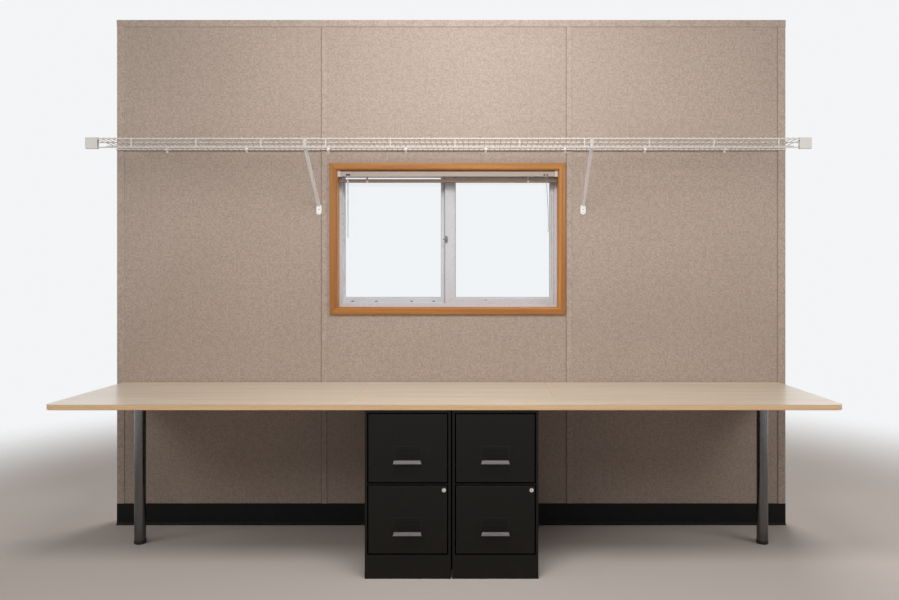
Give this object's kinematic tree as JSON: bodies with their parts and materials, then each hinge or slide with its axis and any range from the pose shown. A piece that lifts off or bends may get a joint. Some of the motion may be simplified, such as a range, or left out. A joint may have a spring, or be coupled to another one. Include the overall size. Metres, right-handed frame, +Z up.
{
  "type": "site cabin end wall with fitted desk",
  "caption": "End wall of a site cabin with a sliding window, raised blind, wire shelf and wall-to-wall worktop on round legs and two steel file cabinets with drawers.",
  "frame": {"origin": "centre of the bottom plate's underside, at floor level and mid-width", "axes": "+X along the wall to the right as seen from the room, +Y through the wall to the outside, +Z up"},
  "size_m": [3.34, 0.8452, 2.52],
  "materials": {
    "timber": "sawn softwood",
    "wall_vinyl": "speckled vinyl wall facing",
    "wall_strip": "vinyl-wrapped joint strip",
    "cove_vinyl": "matt cove base",
    "sheathing_board": "outer sheathing board",
    "siding_paint": "painted ribbed siding",
    "white_vinyl": "white window frame",
    "oak_trim": "oak-coloured trim",
    "window_glass": "clear pane",
    "latch_metal": "die-cast latch",
    "blind_metal": "enamelled aluminium",
    "clear_plastic": "clear acrylic",
    "cord_fibre": "braided cord",
    "tassel_plastic": "moulded tassel",
    "shelf_wire": "white coated wire",
    "shelf_plastic": "white moulded bracket",
    "worktop_laminate": "light maple laminate with a darker edge band",
    "leg_steel": "satin steel tube with a black foot",
    "cabinet_steel": "black powder coat",
    "pull_metal": "satin pull"
  },
  "bodies": {
    "root": {"bottom_plate": "timber", "top_plate": "timber", "end_stud_left": "timber", "end_stud_right": "timber", "studs": "timber", "cripple_studs": "timber", "window_header": "timber", "window_sill_plate": "timber", "panel_left": "wall_vinyl", "panel_centre": "wall_vinyl", "panel_right": "wall_vinyl", "joint_strips": "wall_strip", "ceiling_strip": "wall_strip", "cove_base": "cove_vinyl", "sheathing": "sheathing_board", "siding": "siding_paint", "outer_window_trim": "white_vinyl", "window_trim_head": "oak_trim", "window_trim_sill": "oak_trim", "window_trim_left": "oak_trim", "window_trim_right": "oak_trim", "window_liner": "oak_trim", "window_frame": "white_vinyl", "fixed_pane": "window_glass", "sliding_sash": "white_vinyl", "sash_pane": "window_glass", "sash_latch": "latch_metal", "blind_head_rail": "blind_metal", "blind_slats": "blind_metal", "blind_bottom_rail": "blind_metal", "blind_wand": "clear_plastic", "blind_cord": "cord_fibre", "blind_tassel": "tassel_plastic", "shelf_deck_left": "shelf_wire", "shelf_deck_right": "shelf_wire", "shelf_lip": "shelf_wire", "shelf_clips": "shelf_plastic", "shelf_end_left": "shelf_plastic", "shelf_end_right": "shelf_plastic", "shelf_brace_left": "shelf_wire", "shelf_brace_right": "shelf_wire", "worktop_left": "worktop_laminate", "worktop_centre": "worktop_laminate", "worktop_right": "worktop_laminate", "worktop_cleat": "timber", "leg_left": "leg_steel", "leg_right": "leg_steel", "cabinet_left": "cabinet_steel", "cabinet_right": "cabinet_steel"},
    "left_lower_drawer": {"drawer_left_lower": "cabinet_steel", "pull_left_lower": "pull_metal"},
    "left_upper_drawer": {"drawer_left_upper": "cabinet_steel", "pull_left_upper": "pull_metal"},
    "right_lower_drawer": {"drawer_right_lower": "cabinet_steel", "pull_right_lower": "pull_metal"},
    "right_upper_drawer": {"drawer_right_upper": "cabinet_steel", "pull_right_upper": "pull_metal"}
  },
  "joints": [
    {"name": "left_lower_drawer_slide", "type": "slide", "parent": "root", "child": "left_lower_drawer", "axis": [0, -1, 0], "range_m": [0, 0.32]},
    {"name": "left_upper_drawer_slide", "type": "slide", "parent": "root", "child": "left_upper_drawer", "axis": [0, -1, 0], "range_m": [0, 0.32]},
    {"name": "right_lower_drawer_slide", "type": "slide", "parent": "root", "child": "right_lower_drawer", "axis": [0, -1, 0], "range_m": [0, 0.32]},
    {"name": "right_upper_drawer_slide", "type": "slide", "parent": "root", "child": "right_upper_drawer", "axis": [0, -1, 0], "range_m": [0, 0.32]}
  ]
}
